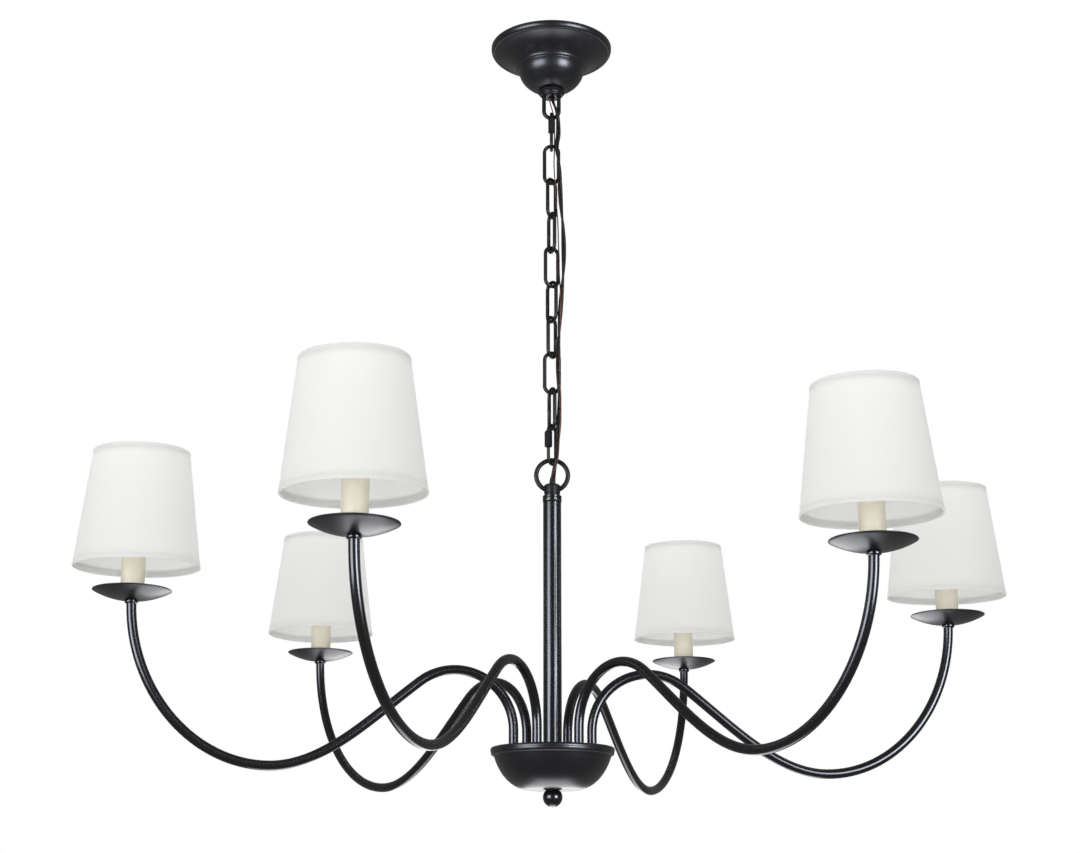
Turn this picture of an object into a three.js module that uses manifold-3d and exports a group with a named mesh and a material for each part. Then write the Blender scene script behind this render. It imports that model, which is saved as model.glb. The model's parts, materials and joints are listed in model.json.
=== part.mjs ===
// A six-arm chain-hung chandelier with fabric shades, in millimetres, +Z up.
// The origin is the centre of the ceiling plane: everything hangs below z = 0.
// Lengths run down from there, so each piece takes its height from the one that holds it.

import * as THREE from 'three';
import { mergeVertices } from 'three/addons/utils/BufferGeometryUtils.js';
import Module from 'manifold-3d';

const wasm = await Module();
wasm.setup();

// ---- Driving dimensions ----

const GAP = 0.3; // between pieces that rest on or pass through each other

// Ceiling hardware
const STRAP = { length: 104, width: 14, thickness: 2, screwSpacing: 88.9 };
const SCREW = { radius: 2, headRadius: 4, headHeight: 2.6 };
const NIPPLE = { radius: 4.8, bore: 3.5, length: 50 };
const LOCKNUT = { radius: 8.6, height: 4 };

// Canopy: a spun shell with an upright rim, a hollow cove, a step and a round dome
const CANOPY = { radius: 63.5, rimHeight: 6.6, coveDepth: 23.2, ringRadius: 36.8 };
const CANOPY_DOME = { radius: 34.4, depth: 26, step: 1.4 };
const CANOPY_WALL = 1.2;

// Loop under the canopy, and the ring nut that screws up onto its threaded body
const LOOP = { width: 19.8, length: 36, wire: 4.2 };
const LOOP_BODY = { radius: 10.2, above: 7.6, below: 7.4 };
const LOOP_DROP = 33.1; // from the bottom of the dome to the bottom of the loop
const CANOPY_HOLE_CLEARANCE = 0.9; // lets the loop and chain pass as the canopy slides down
const LOOP_BODY_CLEARANCE = 0.6; // lets the loop's body pass through the canopy's hole
const LOOP_COLLAR = { radius: 13.7, lowRadius: 12.2, height: 4, lowHeight: 1.6 };

// Quick links: an open oval with a sleeve nut that closes its side
const QUICK = { width: 16.4, length: 43.5, wire: 3.4 };
const QUICK_NUT = { radius: 3.6, length: 17.3, chamfer: 0.9 };
const QUICK_GAP = { height: 4.5, above: 7.2 }; // open stretch, and its middle above the link's middle

// Chain
const LINK = { width: 18.4, length: 45.8, wire: 3.8 };
const UPPER_QUICK_HEADING = 90;
const LINK_HEADINGS = [0, 56, 114, 29, 126, 59, 0, 112]; // how far each link is turned, degrees
const LOWER_QUICK_HEADING = 56;

// Column: ring on a turned base, collar, tube
const RING = { diameter: 36, wire: 4.6 };
const RING_BASE = { radius: 8.1, height: 11.6, ringSunk: 8.9 };
const WIRE_HOLE = 3.6;
const COLUMN_COLLAR = { radius: 9.4, height: 6.7, spigot: 8 };
const COLUMN = { radius: 8.9, wall: 1.2, length: 239.4 };

// Hub: plate that carries the arms, bowl below it, rod and ball finial
const HUB_PLATE = { thickness: 2.4, bush: 12 };
const ROD = { radius: 3, above: 15, below: 9 }; // ends above the plate and below the bowl
const HUB_NUT = { radius: 6.4, height: 4 };
const BOWL = { radius: 59.2, rimHeight: 7.1, depth: 39.8, shoulder: 3.4, flat: 20, wall: 1.2 };
const BOWL_ABOVE_PLATE = 0.3;
const FINIAL = { radius: 9.3, sunk: 3.1 };

// Arms: headings as set by hand on the plate, degrees anticlockwise from +X
const ARM_HEADINGS = [7.6, 67, 130.8, 192.2, 247, 310.2];
const ARM = {
  radius: 4.6,
  rootRadius: 38, // distance of the root from the column's axis
  reach: 399.5, // distance of the candle from the column's axis
  rootBelow: 9.6, // end of the root below the plate's top
  rootRise: 15.9, // straight stretch above the plate
  crook: 56, // bend radius at the root
  crookTurn: 128, // how far the crook turns, degrees
  slopeHandle: 60,
  troughRadius: 268, // distance of the lowest point from the axis
  troughDrop: 21.4, // lowest centreline point below the plate's top
  troughHandle: 50,
  sweepHandle: 71,
  tipHandle: 84,
  tipRise: 131.1, // tip above the plate's top
};
const FERRULE = { radius: 6.2, height: 3.5 };
const PAN = { radius: 36.5, depth: 9.5, wall: 1, tipAbove: 4.2 }; // dish, and the tip above its foot
const SLEEVE = { radius: 11, wall: 1.1, height: 61 };
const BULB = { baseRadius: 6, baseDepth: 25, glassRadius: 17, glassHeight: 71 };
const SHADE = { bottomRadius: 58.8, topRadius: 44.9, height: 110.3, wall: 1.4, abovePan: 22.5 };

// Cords: centreline points, chosen by hand, that stay clear of every link
const CORD_RADIUS = 2.2;
const CORD_ROUTE = [
  [1, 0, -40], [1, 0, -50], [1, 0, -57.5], [2.2, -2.2, -64], [4.6, -4.8, -72],
  [6.4, -5.3, -80], [7, -4.5, -90], [7.2, -4.7, -102], [7.7, -5.1, -113], [8.2, -5.1, -126],
  [8.4, -5, -141], [8.6, -4.7, -156], [9.2, -4.2, -171], [10.1, -3.7, -186], [11.5, -3.2, -202],
  [12.2, -3.2, -218], [12.4, -3.6, -234], [12, -4, -250], [11, -4, -266], [9.8, -3.2, -281],
  [8.7, -2.8, -296], [7.8, -2.8, -310], [7, -3.4, -325], [6.5, -4.7, -339], [6.4, -5.1, -355],
  [6.6, -5, -372], [7.2, -4.3, -389], [7.2, -4, -404], [6.6, -3.6, -418], [5.5, -3.7, -432],
  [4.5, -4.7, -446], [3.5, -5.3, -454], [2, -3.6, -463], [1, -1.3, -470.5], [1, -0.1, -476],
  [1, 0, -486.5],
];
const GROUND_RADIUS = 0.6;
const GROUND_ROUTE = [
  [-2.1, 0, -40], [-2.1, 0, -50], [-2.1, 0, -57.5], [-0.8, 2, -64], [1.6, 3.7, -72],
  [3.2, 3.7, -80], [3.3, 2.8, -91], [3.2, 3.3, -104], [3, 3.3, -118], [2.6, 0, -130],
  [2.8, -3.3, -141], [3.4, -3.5, -153], [4.2, -2.5, -170], [5.6, -2, -186], [6.6, -1.3, -204],
  [7, -1.5, -222], [7.6, -2.4, -240], [7.7, -4.2, -256], [8.6, -6.9, -272], [9.2, -6.8, -285],
  [8.6, -6.4, -301], [8.2, -6.7, -318], [7.9, -7.8, -336], [7.6, -8.7, -353], [8, -8.4, -371],
  [8.8, -7.6, -388], [8.8, -7.3, -404], [8.2, -6.9, -418], [7.1, -6.9, -432], [6.3, -7.9, -446],
  [5.3, -8.6, -454], [2.8, -6.9, -463], [-0.9, -4.6, -470], [-2.1, -1.9, -474.6], [-2.1, 0, -479],
  [-2.1, 0, -486.5],
];

// ---- Heights, from the ceiling down ----

const canopyBottom = -(CANOPY.coveDepth + CANOPY_DOME.step + CANOPY_DOME.depth);
const canopyHole = Math.max(
  LOOP.width / 2 + CANOPY_HOLE_CLEARANCE,
  LOOP_BODY.radius + LOOP_BODY_CLEARANCE,
);
const domeCentre = canopyBottom + CANOPY_DOME.depth;
const holeZ = domeCentre - CANOPY_DOME.depth * Math.sqrt(1 - (canopyHole / CANOPY_DOME.radius) ** 2);
const loopBottom = holeZ - LOOP_DROP;

// The bottom of a link that hangs in the eye of the one above it
const hangBelow = (bottomAbove, wireAbove, wire, length) =>
  bottomAbove + wireAbove + GAP + wire - length;

const upperQuickBottom = hangBelow(loopBottom, LOOP.wire, QUICK.wire, QUICK.length);
const linkBottoms = [];
let bottomAbove = upperQuickBottom;
let wireAbove = QUICK.wire;
for (const _ of LINK_HEADINGS) {
  bottomAbove = hangBelow(bottomAbove, wireAbove, LINK.wire, LINK.length);
  wireAbove = LINK.wire;
  linkBottoms.push(bottomAbove);
}
const lowerQuickBottom = hangBelow(bottomAbove, wireAbove, QUICK.wire, QUICK.length);
const ringBottom = hangBelow(lowerQuickBottom, QUICK.wire, RING.wire, RING.diameter);

const ringBaseTop = ringBottom + RING_BASE.ringSunk;
const ringBaseBottom = ringBaseTop - RING_BASE.height;
const collarTop = ringBaseBottom - GAP;
const columnTop = collarTop - COLUMN_COLLAR.height - GAP;
const columnBottom = columnTop - COLUMN.length;
const plateTop = columnBottom - GAP;
const plateBottom = plateTop - HUB_PLATE.thickness;
const bowlTop = plateTop + BOWL_ABOVE_PLATE;
const bowlBottom = bowlTop - BOWL.depth;
const tipZ = plateTop + ARM.tipRise;
const panFoot = tipZ - PAN.tipAbove;
const panRim = panFoot + PAN.depth;

// ---- Shape helpers ----

const degrees = Math.PI / 180;

function toSolid(geometry) {
  const plain = geometry.clone();
  plain.deleteAttribute('normal');
  plain.deleteAttribute('uv');
  const merged = mergeVertices(plain, 1e-4);
  return new wasm.Manifold(new wasm.Mesh({
    numProp: 3,
    vertProperties: Float32Array.from(merged.attributes.position.array),
    triVerts: Uint32Array.from(merged.index.array),
  }));
}

function toGeometry(solid) {
  const mesh = solid.getMesh();
  const geometry = new THREE.BufferGeometry();
  geometry.setAttribute('position', new THREE.BufferAttribute(mesh.vertProperties, 3));
  geometry.setIndex(new THREE.BufferAttribute(mesh.triVerts, 1));
  geometry.computeVertexNormals();
  return geometry;
}

const join = (...shapes) => toGeometry(shapes.map(toSolid).reduce((all, one) => all.add(one)));
const cut = (shape, ...tools) =>
  toGeometry(tools.map(toSolid).reduce((rest, tool) => rest.subtract(tool), toSolid(shape)));

// A body turned about Z from [radius, z] points; a ring's points close on themselves
function turned(points, segments) {
  let area = 0;
  points.forEach(([r, z], i) => {
    const [nextR, nextZ] = points[(i + 1) % points.length];
    area += r * nextZ - nextR * z;
  });
  const ordered = area > 0 ? points : [...points].reverse();
  const profile = ordered.map(([r, z]) => new THREE.Vector2(r, z));
  if (points.every(([r]) => r > 0)) profile.push(profile[0].clone());
  return new THREE.LatheGeometry(profile, segments).rotateX(Math.PI / 2);
}

const disc = (radius, top, bottom, segments) =>
  turned([[0, bottom], [radius, bottom], [radius, top], [0, top]], segments);

const hexNut = (radius, bore, top, bottom) =>
  cut(disc(radius, top, bottom, 6), disc(bore, top + 1, bottom - 1, 20));

const tubeRing = (radius, bore, top, bottom, segments) =>
  turned([[bore, bottom], [radius, bottom], [radius, top], [bore, top]], segments);

// A sheet-metal shell: the outer line and the same line moved in by the wall
function shell(outer, wall, segments) {
  const inner = outer.map(([r, z], i) => {
    const [r0, z0] = outer[Math.max(i - 1, 0)];
    const [r1, z1] = outer[Math.min(i + 1, outer.length - 1)];
    const length = Math.hypot(r1 - r0, z1 - z0);
    return [r + (z1 - z0) / length * wall, z - (r1 - r0) / length * wall];
  });
  return turned([...outer, ...inner.reverse()], segments);
}

function tube(points, radius, sides, steps) {
  const outline = new THREE.Shape().absarc(0, 0, radius, 0, 2 * Math.PI);
  const section = new THREE.Shape(outline.getSpacedPoints(sides).slice(0, sides));
  const extrudePath = new THREE.CatmullRomCurve3(points, false, 'centripetal');
  return new THREE.ExtrudeGeometry(section, { steps, extrudePath, bevelEnabled: false });
}

// An upright oval of round wire, made by pulling the halves of a torus apart
function oval({ width, length, wire }, bottom, around) {
  const stretch = (length - width) / 2;
  const shape = new THREE.TorusGeometry((width - wire) / 2, wire / 2, 8, around);
  shape.rotateZ(Math.PI / around).rotateX(Math.PI / 2);
  const place = shape.attributes.position;
  for (let i = 0; i < place.count; i += 1) {
    place.setZ(i, place.getZ(i) + Math.sign(place.getZ(i)) * stretch + bottom + length / 2);
  }
  return shape;
}

// ---- Nodes ----

const black = { color: 0x17171a, roughness: 0.42, metalness: 0.6 };
const steel = { color: 0x9a9a98, roughness: 0.45, metalness: 0.9 };
const copper = { color: 0x8a4b32, roughness: 0.4, metalness: 0.9 };
const cordBlack = { color: 0x1b1b1c, roughness: 0.6, metalness: 0 };
const ivory = { color: 0xf1e8cf, roughness: 0.55, metalness: 0 };
const frosted = { color: 0xf4f2ec, roughness: 0.3, metalness: 0 };
const fabric = { color: 0xf6f5f2, roughness: 0.95, metalness: 0 };

const chandelier = new THREE.Group();

function add(name, geometry, finish, { x = 0, y = 0, heading = 0 } = {}) {
  const mesh = new THREE.Mesh(geometry, new THREE.MeshStandardMaterial(finish));
  mesh.name = name;
  mesh.position.set(x, y, 0);
  mesh.rotation.z = heading * degrees;
  chandelier.add(mesh);
}

// Ceiling hardware
const screwX = STRAP.screwSpacing / 2;
const strapShape = new THREE.Shape();
const strapStraight = STRAP.length / 2 - STRAP.width / 2;
strapShape.absarc(strapStraight, 0, STRAP.width / 2, -Math.PI / 2, Math.PI / 2);
strapShape.absarc(-strapStraight, 0, STRAP.width / 2, Math.PI / 2, Math.PI * 1.5);
const strapHoles = [[0, NIPPLE.radius], [screwX, SCREW.radius], [-screwX, SCREW.radius]];
for (const [x, radius] of strapHoles) {
  strapShape.holes.push(new THREE.Path().absarc(x, 0, radius + GAP, 0, 2 * Math.PI, true));
}
const strap = new THREE.ExtrudeGeometry(strapShape, {
  depth: STRAP.thickness, bevelEnabled: false, curveSegments: 8,
});
add('mounting_strap', strap.translate(0, 0, -STRAP.thickness), steel);

for (const side of [1, -1]) {
  const under = -STRAP.thickness - GAP;
  const screw = join(
    disc(SCREW.radius, 0, under - 1, 12),
    disc(SCREW.headRadius, under, under - SCREW.headHeight, 16),
  );
  add(`strap_screw_${side > 0 ? 1 : 2}`, screw, steel, { x: side * screwX });
}

add('center_nipple', tubeRing(NIPPLE.radius, NIPPLE.bore, 0, -NIPPLE.length, 20), steel);
const locknutTop = -STRAP.thickness - GAP;
const locknut = hexNut(LOCKNUT.radius, NIPPLE.radius + GAP, locknutTop,
  locknutTop - LOCKNUT.height);
add('nipple_locknut', locknut, steel);

const loopBodyTop = holeZ + LOOP_BODY.above;
const loopBodyBottom = holeZ - LOOP_BODY.below;
const nippleEnd = -NIPPLE.length - GAP;
const canopyLoop = cut(
  join(disc(LOOP_BODY.radius, loopBodyTop, loopBodyBottom, 24), oval(LOOP, loopBottom, 24)),
  disc(NIPPLE.radius + GAP, loopBodyTop + 1, nippleEnd, 24),
  disc(WIRE_HOLE, loopBodyTop + 1, loopBodyBottom - 1, 16),
);
add('canopy_loop', canopyLoop, black);

// Canopy
const canopyLine = new THREE.Path().moveTo(CANOPY.radius, 0);
canopyLine.lineTo(CANOPY.radius, -CANOPY.rimHeight);
canopyLine.lineTo(CANOPY.radius - 3.4, -CANOPY.rimHeight - 0.8);
canopyLine.quadraticCurveTo(
  CANOPY.ringRadius + 8.2, -(CANOPY.rimHeight + 5.4), CANOPY.ringRadius, -CANOPY.coveDepth,
);
canopyLine.lineTo(CANOPY_DOME.radius, domeCentre);
const canopyOuter = canopyLine.getPoints(5).map(({ x, y }) => [x, y]);
const holeAngle = Math.acos(canopyHole / CANOPY_DOME.radius);
for (let i = 1; i <= 6; i += 1) {
  const angle = holeAngle * i / 6;
  canopyOuter.push([
    CANOPY_DOME.radius * Math.cos(angle), domeCentre - CANOPY_DOME.depth * Math.sin(angle),
  ]);
}
add('canopy', shell(canopyOuter, CANOPY_WALL, 28), black);

const nutTop = holeZ - GAP;
const nutLow = nutTop - LOOP_COLLAR.height;
const nutBore = LOOP_BODY.radius + GAP;
add('loop_collar', turned([
  [nutBore, nutTop], [LOOP_COLLAR.radius, nutTop], [LOOP_COLLAR.radius, nutLow],
  [LOOP_COLLAR.lowRadius, nutLow], [LOOP_COLLAR.lowRadius, nutLow - LOOP_COLLAR.lowHeight],
  [nutBore, nutLow - LOOP_COLLAR.lowHeight],
], 32), black);

// Quick links, each with its sleeve nut on the side at -X before the link is turned
const quickSide = (QUICK.width - QUICK.wire) / 2;
const quickStraight = (QUICK.length - QUICK.width) / 2;

function addQuickLink(name, bottom, heading) {
  const middle = bottom + QUICK.length / 2;
  const gap = new THREE.BoxGeometry(QUICK.wire * 2, QUICK.wire * 2, QUICK_GAP.height);
  gap.translate(-quickSide, 0, middle + QUICK_GAP.above);
  add(name, cut(oval(QUICK, bottom, 14), gap), black, { heading });
  const top = middle + quickStraight - GAP;
  const low = top - QUICK_NUT.length;
  const { radius, chamfer } = QUICK_NUT;
  const bore = QUICK.wire / 2 + GAP;
  const nut = turned([
    [bore, top], [radius - chamfer, top], [radius, top - chamfer], [radius, low + chamfer],
    [radius - chamfer, low], [bore, low],
  ], 12);
  add(`${name}_nut`, nut.translate(-quickSide, 0, 0), black, { heading });
}

addQuickLink('upper_quick_link', upperQuickBottom, UPPER_QUICK_HEADING);
LINK_HEADINGS.forEach((heading, i) => {
  add(`chain_link_${i + 1}`, oval(LINK, linkBottoms[i], 14), black, { heading });
});
addQuickLink('lower_quick_link', lowerQuickBottom, LOWER_QUICK_HEADING);

// Column
const ring = { width: RING.diameter, length: RING.diameter, wire: RING.wire };
const columnLoop = cut(
  join(oval(ring, ringBottom, 24), disc(RING_BASE.radius, ringBaseTop, ringBaseBottom, 24)),
  disc(WIRE_HOLE, ringBaseTop + 5, ringBaseBottom - 1, 16),
);
add('column_loop', columnLoop, black);

const columnBore = COLUMN.radius - COLUMN.wall;
const collarBottom = collarTop - COLUMN_COLLAR.height;
add('column_collar', turned([
  [WIRE_HOLE, collarTop], [COLUMN_COLLAR.radius, collarTop],
  [COLUMN_COLLAR.radius, collarBottom], [columnBore - GAP, collarBottom],
  [columnBore - GAP, collarBottom - COLUMN_COLLAR.spigot],
  [WIRE_HOLE, collarBottom - COLUMN_COLLAR.spigot],
], 24), black);
add('column', tubeRing(COLUMN.radius, columnBore, columnTop, columnBottom, 32), black);

// Hub
const rodBore = ROD.radius + GAP;
const plateRadius = BOWL.radius - BOWL.wall - GAP;
const plateBody = turned([
  [rodBore, plateBottom], [plateRadius, plateBottom], [plateRadius, plateTop],
  [columnBore - GAP, plateTop], [columnBore - GAP, plateTop + HUB_PLATE.bush],
  [rodBore, plateTop + HUB_PLATE.bush],
], 28);
const armHoles = ARM_HEADINGS.map((heading) => {
  const hole = disc(ARM.radius + GAP, plateTop + 1, plateBottom - 1, 16);
  return hole.translate(ARM.rootRadius, 0, 0).rotateZ(heading * degrees);
});
add('hub_plate', cut(plateBody, ...armHoles), black);
add('hub_rod', disc(ROD.radius, plateTop + ROD.above, bowlBottom - ROD.below, 16), steel);
const hubNutTop = plateBottom - GAP;
add('hub_nut', hexNut(HUB_NUT.radius, rodBore, hubNutTop, hubNutTop - HUB_NUT.height), steel);

const bowlLine = new THREE.Path().moveTo(BOWL.radius, bowlTop);
const shoulderZ = bowlTop - BOWL.rimHeight;
bowlLine.lineTo(BOWL.radius, shoulderZ);
bowlLine.lineTo(BOWL.radius - BOWL.shoulder, shoulderZ - 1.3);
bowlLine.bezierCurveTo(
  BOWL.radius - BOWL.shoulder - 4.1, bowlTop - BOWL.depth * 0.56,
  BOWL.radius * 0.69, bowlBottom, BOWL.flat, bowlBottom,
);
bowlLine.lineTo(rodBore, bowlBottom);
add('hub_bowl', shell(bowlLine.getPoints(7).map(({ x, y }) => [x, y]), BOWL.wall, 28), black);

const ballTop = bowlBottom - GAP;
const ballCentre = ballTop - FINIAL.radius + FINIAL.sunk;
const ballFlat = Math.acos((FINIAL.radius - FINIAL.sunk) / FINIAL.radius);
const ballLine = [];
for (let i = 0; i <= 8; i += 1) {
  const angle = ballFlat + (Math.PI - ballFlat) * i / 8;
  ballLine.push([
    i === 8 ? 0 : FINIAL.radius * Math.sin(angle), ballCentre + FINIAL.radius * Math.cos(angle),
  ]);
}
const rodEnd = bowlBottom - ROD.below - GAP;
add('finial', turned([[0, rodEnd], [rodBore, rodEnd], [rodBore, ballTop], ...ballLine], 20), black);

// Arms: one flat line in the plane through the column's axis, radius against height
const crookX = ARM.rootRadius + ARM.crook;
const crookZ = plateTop + ARM.rootRise;
const slope = ARM.crookTurn * degrees - Math.PI / 2;
const crookEnd = Math.PI / 2 - slope;
const slopeX = crookX + ARM.crook * Math.cos(crookEnd);
const slopeZ = crookZ + ARM.crook * Math.sin(crookEnd);
const troughZ = plateTop - ARM.troughDrop;
const armLine = new THREE.Path().moveTo(ARM.rootRadius, plateTop - ARM.rootBelow);
armLine.lineTo(ARM.rootRadius, crookZ);
armLine.absarc(crookX, crookZ, ARM.crook, Math.PI, crookEnd, true);
armLine.bezierCurveTo(
  slopeX + ARM.slopeHandle * Math.cos(slope), slopeZ - ARM.slopeHandle * Math.sin(slope),
  ARM.troughRadius - ARM.troughHandle, troughZ, ARM.troughRadius, troughZ,
);
armLine.bezierCurveTo(
  ARM.troughRadius + ARM.sweepHandle, troughZ, ARM.reach, tipZ - ARM.tipHandle, ARM.reach, tipZ,
);
const armPoints = armLine.getSpacedPoints(30).map(({ x, y }) => new THREE.Vector3(x, 0, y));

const ferruleTop = panFoot - GAP;
const sphere = (PAN.radius ** 2 + PAN.depth ** 2) / (2 * PAN.depth);
const panRise = (r) => sphere - Math.sqrt(sphere ** 2 - r ** 2);
const panHole = ARM.radius + 2 * GAP;
const panLine = [];
for (let i = 0; i <= 3; i += 1) {
  const r = PAN.radius + (panHole - PAN.radius) * i / 3;
  panLine.push([r, panFoot + panRise(r)]);
}

const sleeveBottom = panFoot + panRise(SLEEVE.radius) + PAN.wall + GAP;
const sleeveTop = sleeveBottom + SLEEVE.height;
const bulbTop = sleeveTop + BULB.glassHeight;
const bulbLine = new THREE.Path().moveTo(0, sleeveTop - BULB.baseDepth);
bulbLine.lineTo(BULB.baseRadius, sleeveTop - BULB.baseDepth);
bulbLine.lineTo(BULB.baseRadius, sleeveTop - 4);
bulbLine.lineTo(SLEEVE.radius - SLEEVE.wall - 1.4, sleeveTop);
bulbLine.bezierCurveTo(
  BULB.glassRadius, sleeveTop + BULB.glassHeight * 0.16,
  BULB.glassRadius * 1.2, sleeveTop + BULB.glassHeight * 0.48,
  BULB.glassRadius * 0.42, sleeveTop + BULB.glassHeight * 0.82,
);
bulbLine.quadraticCurveTo(1.6, bulbTop - 1, 0, bulbTop);
const bulbPoints = bulbLine.getPoints(5).map(({ x, y }) => [x, y]);

const shadeBottom = panRim + SHADE.abovePan;
const shadeTop = shadeBottom + SHADE.height;
const shadeLine = [[SHADE.bottomRadius, shadeBottom], [SHADE.topRadius, shadeTop]];

ARM_HEADINGS.forEach((heading, i) => {
  const number = i + 1;
  const arm = join(
    tube(armPoints, ARM.radius, 8, 30),
    disc(FERRULE.radius, ferruleTop, ferruleTop - FERRULE.height, 16).translate(ARM.reach, 0, 0),
  );
  add(`arm_${number}`, arm, black, { heading });
  const candle = {
    x: ARM.reach * Math.cos(heading * degrees), y: ARM.reach * Math.sin(heading * degrees), heading,
  };
  add(`drip_pan_${number}`, shell(panLine, PAN.wall, 20), black, candle);
  const sleeve = tubeRing(SLEEVE.radius, SLEEVE.radius - SLEEVE.wall, sleeveTop, sleeveBottom, 16);
  add(`candle_sleeve_${number}`, sleeve, ivory, candle);
  add(`bulb_${number}`, turned(bulbPoints, 10), frosted, candle);
  add(`shade_${number}`, shell(shadeLine, -SHADE.wall, 28), fabric, candle);
});

// Cords
const route = (points) => points.map(([x, y, z]) => new THREE.Vector3(x, y, z));
add('lamp_cord', tube(route(CORD_ROUTE), CORD_RADIUS, 8, 56), cordBlack);
add('ground_wire', tube(route(GROUND_ROUTE), GROUND_RADIUS, 8, 56), copper);

export default chandelier;
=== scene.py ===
import json
import math

import bpy
from mathutils import Matrix, Vector


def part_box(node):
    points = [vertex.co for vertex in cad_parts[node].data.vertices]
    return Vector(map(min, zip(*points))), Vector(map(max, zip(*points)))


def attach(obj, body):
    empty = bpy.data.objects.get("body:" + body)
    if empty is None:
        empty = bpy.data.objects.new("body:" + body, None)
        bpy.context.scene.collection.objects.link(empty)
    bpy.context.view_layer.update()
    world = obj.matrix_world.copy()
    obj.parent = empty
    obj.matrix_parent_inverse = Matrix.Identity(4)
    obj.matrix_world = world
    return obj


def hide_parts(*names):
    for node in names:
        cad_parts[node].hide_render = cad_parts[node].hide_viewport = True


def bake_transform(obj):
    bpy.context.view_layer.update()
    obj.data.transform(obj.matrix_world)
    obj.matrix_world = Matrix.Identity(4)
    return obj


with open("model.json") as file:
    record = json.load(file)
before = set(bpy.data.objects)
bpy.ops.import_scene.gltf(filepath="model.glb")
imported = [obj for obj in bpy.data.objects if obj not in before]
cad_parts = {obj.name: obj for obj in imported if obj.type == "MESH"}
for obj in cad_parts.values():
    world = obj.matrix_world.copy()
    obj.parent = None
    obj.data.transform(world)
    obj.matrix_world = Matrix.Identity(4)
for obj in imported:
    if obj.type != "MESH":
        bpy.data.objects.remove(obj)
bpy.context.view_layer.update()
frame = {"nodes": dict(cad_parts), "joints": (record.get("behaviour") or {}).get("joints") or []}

# ---- Viewpoint ----
# The viewer stands a little under two metres in front and looks slightly up at the light.
# The lens and the tilt give the proportions between the canopy, the near arms and the far ones.

VIEW_HEIGHT = -0.9046
VIEW_DISTANCE = 1.7337
VIEW_SIDE = -0.0120
VIEW_TILT = 15.715
VIEW_LENS = 60.02
VIEW_SENSOR = 36

bpy.ops.object.camera_add(
    location=(VIEW_SIDE, -VIEW_DISTANCE, VIEW_HEIGHT),
    rotation=(math.radians(90 + VIEW_TILT), 0, 0),
)
camera = bpy.context.object
camera.data.sensor_width = VIEW_SENSOR
camera.data.lens = VIEW_LENS
bpy.context.scene.camera = camera

# ---- Studio ----
# A pale floor and a white sweep. Two boxes either side of the viewer and two panels behind are
# seen only as reflections in the black metal. A wide box by the viewer and one overhead light
# the matt surfaces, with the sweep, and stay out of the reflections.

FLOOR_HEIGHT = -2.6
BOX_COLOUR = (0.93, 0.95, 1.0)
FILL_COLOUR = (1.0, 1.0, 0.995)
SWEEP_BEHIND = 1.3
SWEEP_FRONT = 0.72
SWEEP_REFLECTED = 0.16
SWEEP_TURNS = -0.2
SWEEP_FULL = 0.6
MIDDLE = (0, 0, -0.45)


def soft_box(name, place, target, size, power, colour, shines=True, spread=180):
    """A rectangle of light facing a target, seen either in reflections or on matt surfaces."""
    bpy.ops.object.light_add(type="AREA", location=place)
    light = bpy.context.object
    light.name = name
    towards = Vector(place) - Vector(target)
    light.rotation_euler = towards.to_track_quat("Z", "Y").to_euler()
    light.data.shape = "RECTANGLE"
    light.data.size, light.data.size_y = size
    light.data.energy = power
    light.data.color = colour
    light.data.spread = math.radians(spread)
    light.visible_camera = False
    light.visible_glossy = shines
    light.visible_diffuse = not shines


soft_box("left_box", (-1.75, -1.85, -0.5), MIDDLE, (1.8, 1.3), 18.5, BOX_COLOUR, spread=95)
soft_box("right_box", (1.70, -1.90, -0.5), MIDDLE, (1.2, 1.3), 23, BOX_COLOUR, spread=95)
soft_box("floor_panel", (0, 2.3, -2.5), (0, 2.3, 0), (1.2, 4), 44, FILL_COLOUR)
soft_box("standing_panel", (0.05, 4, -1.9), (0.05, 0, -1.9), (1.0, 1.2), 11, FILL_COLOUR)
soft_box("front_fill", (-0.7, -3.6, -0.8), MIDDLE, (3.5, 2.5), 76, FILL_COLOUR, shines=False)
soft_box("overhead_fill", (0, 0.5, 2.0), (0, 0.5, 0), (2.4, 2.4), 60, FILL_COLOUR, shines=False)

bpy.ops.mesh.primitive_plane_add(size=60, location=(0, 2, FLOOR_HEIGHT))
floor = bpy.context.object
floor.name = "floor"
floor.visible_glossy = False

world = bpy.data.worlds.new("studio")
bpy.context.scene.world = world
world.use_nodes = True
bpy.context.scene.view_settings.view_transform = "Standard"


class Wire:
    """One value in a material. Sums, differences and products of wires add Math nodes."""

    def __init__(self, finish, socket):
        self.finish = finish
        self.socket = socket

    def math(self, operation, *values):
        inputs = dict(enumerate(values))
        return self.finish.node("ShaderNodeMath", {"operation": operation}, inputs)

    def __add__(self, other):
        return self.math("ADD", self, other)

    def __sub__(self, other):
        return self.math("SUBTRACT", self, other)

    def __rsub__(self, other):
        return self.math("SUBTRACT", other, self)

    def __mul__(self, other):
        return self.math("MULTIPLY", self, other)

    def sine(self):
        return self.math("SINE", self)

    def or_more(self, other):
        return self.math("MAXIMUM", self, other)

    __radd__ = __add__
    __rmul__ = __mul__


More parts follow.
